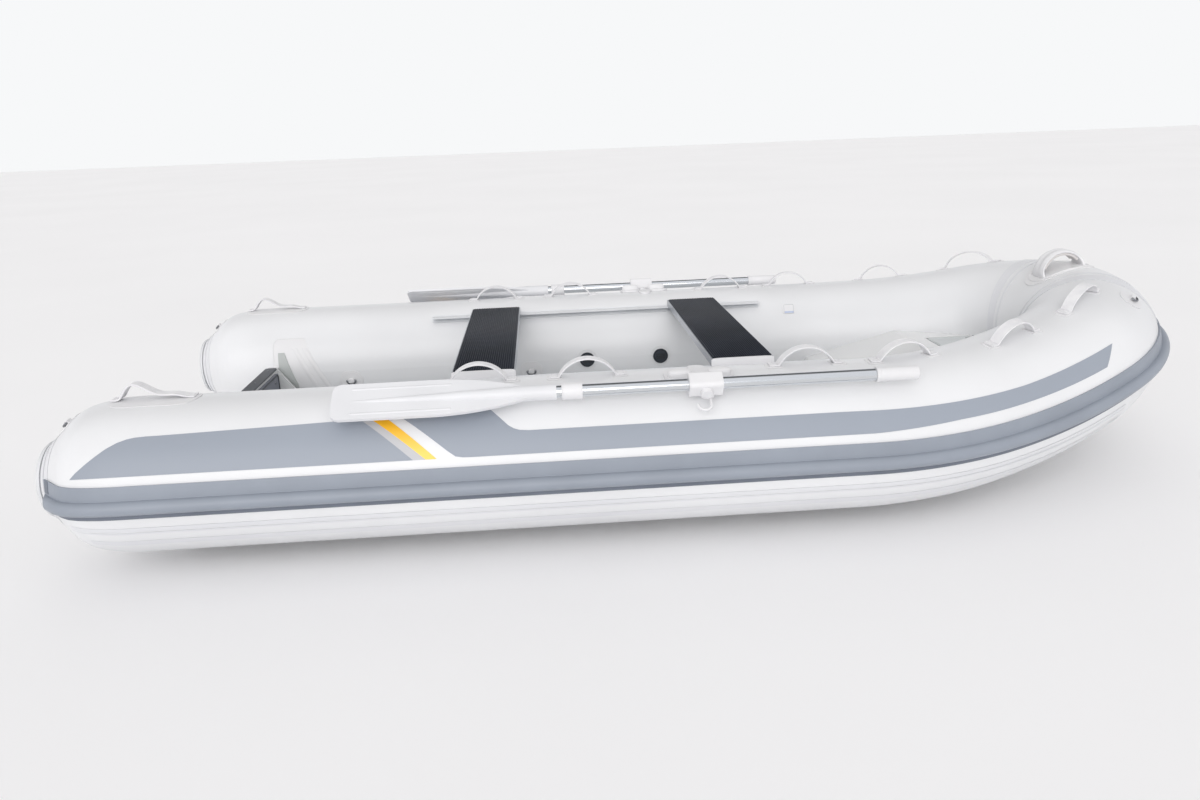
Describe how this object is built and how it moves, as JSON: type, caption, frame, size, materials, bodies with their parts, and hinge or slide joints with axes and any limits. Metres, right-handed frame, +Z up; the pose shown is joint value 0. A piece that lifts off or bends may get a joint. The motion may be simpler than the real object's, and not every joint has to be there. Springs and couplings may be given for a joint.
{
  "type": "inflatable rib boat",
  "caption": "Rigid-hull inflatable tender with white tubes, grey rubbing strake, two oars, sliding thwarts and a bow locker.",
  "frame": {"origin": "on the centreline at mid length, on the waterline of the empty boat", "axes": "+X towards the bow, +Y to port, +Z up"},
  "size_m": [3.5762, 1.7754, 0.7835],
  "materials": {
    "tube_fabric": "coated tube fabric, low gloss",
    "tail_fabric": "coated tube fabric, low gloss",
    "cap_moulding": "moulded flexible end cap",
    "strake_rubber": "extruded grey rubbing strake",
    "hull_gelcoat": "white gelcoat",
    "deck_gelcoat": "moulded anti-slip gelcoat",
    "transom_gelcoat": "light grey gelcoat",
    "floor_tread": "moulded anti-slip panel",
    "ear_grey": "moulded grey flange",
    "pad_dark": "black moulded pad",
    "rail_white": "extruded white seat track",
    "aluminium": "anodised satin",
    "thwart_plank": "satin edge",
    "tread_black": "ribbed anti-slip sheet",
    "blade_white": "moulded blade",
    "sleeve_white": "moulded sleeve",
    "grip_white": "ribbed grip",
    "rowlock_white": "moulded rowlock",
    "webbing": "woven webbing",
    "pad_white": "coated fabric patch",
    "steel": "stainless, polished",
    "valve_dark": "moulded valve cap"
  },
  "bodies": {
    "boat": {"blank_plate": "pad_white", "bow_handle": "pad_white", "bow_handle_pad": "pad_white", "bow_locker": "hull_gelcoat", "carry_pads": "pad_white", "carry_straps": "webbing", "d_rings": "steel", "deck": "deck_gelcoat", "drain_plug": "valve_dark", "floor_panel": "floor_tread", "grab_straps_aft_port": "webbing", "grab_straps_aft_starboard": "webbing", "grab_straps_fore_port": "webbing", "grab_straps_fore_starboard": "webbing", "hull": "hull_gelcoat", "locker_hinges": "steel", "motor_pad_inner": "pad_dark", "motor_pad_outer": "pad_dark", "ring_pads": "pad_white", "rowlock_base_port": "rowlock_white", "rowlock_base_starboard": "rowlock_white", "rub_strake_bow": "strake_rubber", "rub_strake_port": "strake_rubber", "rub_strake_starboard": "strake_rubber", "seat_rails": "rail_white", "strap_tabs": "pad_white", "tail_cap_port": "cap_moulding", "tail_cap_starboard": "cap_moulding", "tail_cone_port": "tail_fabric", "tail_cone_starboard": "tail_fabric", "transom": "transom_gelcoat", "transom_cap": "pad_dark", "transom_ears": "ear_grey", "transom_knees": "transom_gelcoat", "tube_bow": "tube_fabric", "tube_port": "tube_fabric", "tube_starboard": "tube_fabric", "valves": "valve_dark"},
    "oar_starboard": {"oar_blade_starboard": "blade_white", "oar_grip_starboard": "grip_white", "oar_shaft_starboard": "aluminium", "oar_sleeve_starboard": "sleeve_white", "rowlock_clamp_starboard": "rowlock_white", "rowlock_knob_starboard": "rowlock_white"},
    "oar_port": {"oar_blade_port": "blade_white", "oar_grip_port": "grip_white", "oar_shaft_port": "aluminium", "oar_sleeve_port": "sleeve_white", "rowlock_clamp_port": "rowlock_white", "rowlock_knob_port": "rowlock_white"},
    "thwart_aft": {"thwart_aft": "thwart_plank", "thwart_tread_aft": "tread_black"},
    "thwart_fore": {"thwart_fore": "thwart_plank", "thwart_tread_fore": "tread_black"},
    "locker_lid": {"locker_lid": "deck_gelcoat", "locker_lid_hinges": "deck_gelcoat"}
  },
  "joints": [
    {"name": "oar_starboard_swing", "type": "hinge", "parent": "boat", "child": "oar_starboard", "pos_m": [0.075, -0.78875, 0.49552], "axis": [0, -0.5592, 0.829], "range_deg": [0, 120]},
    {"name": "oar_port_swing", "type": "hinge", "parent": "boat", "child": "oar_port", "pos_m": [0.075, 0.78875, 0.49552], "axis": [0, -0.5592, -0.829], "range_deg": [0, 120]},
    {"name": "thwart_aft_slide", "type": "slide", "parent": "boat", "child": "thwart_aft", "axis": [1, 0, 0], "range_m": [-0.15, 0.25]},
    {"name": "thwart_fore_slide", "type": "slide", "parent": "boat", "child": "thwart_fore", "axis": [1, 0, 0], "range_m": [-0.25, 0.175]},
    {"name": "locker_lid_hinge", "type": "hinge", "parent": "boat", "child": "locker_lid", "pos_m": [1.2575, 0, 0.362], "axis": [0, 1, 0], "range_deg": [0, 100]}
  ]
}
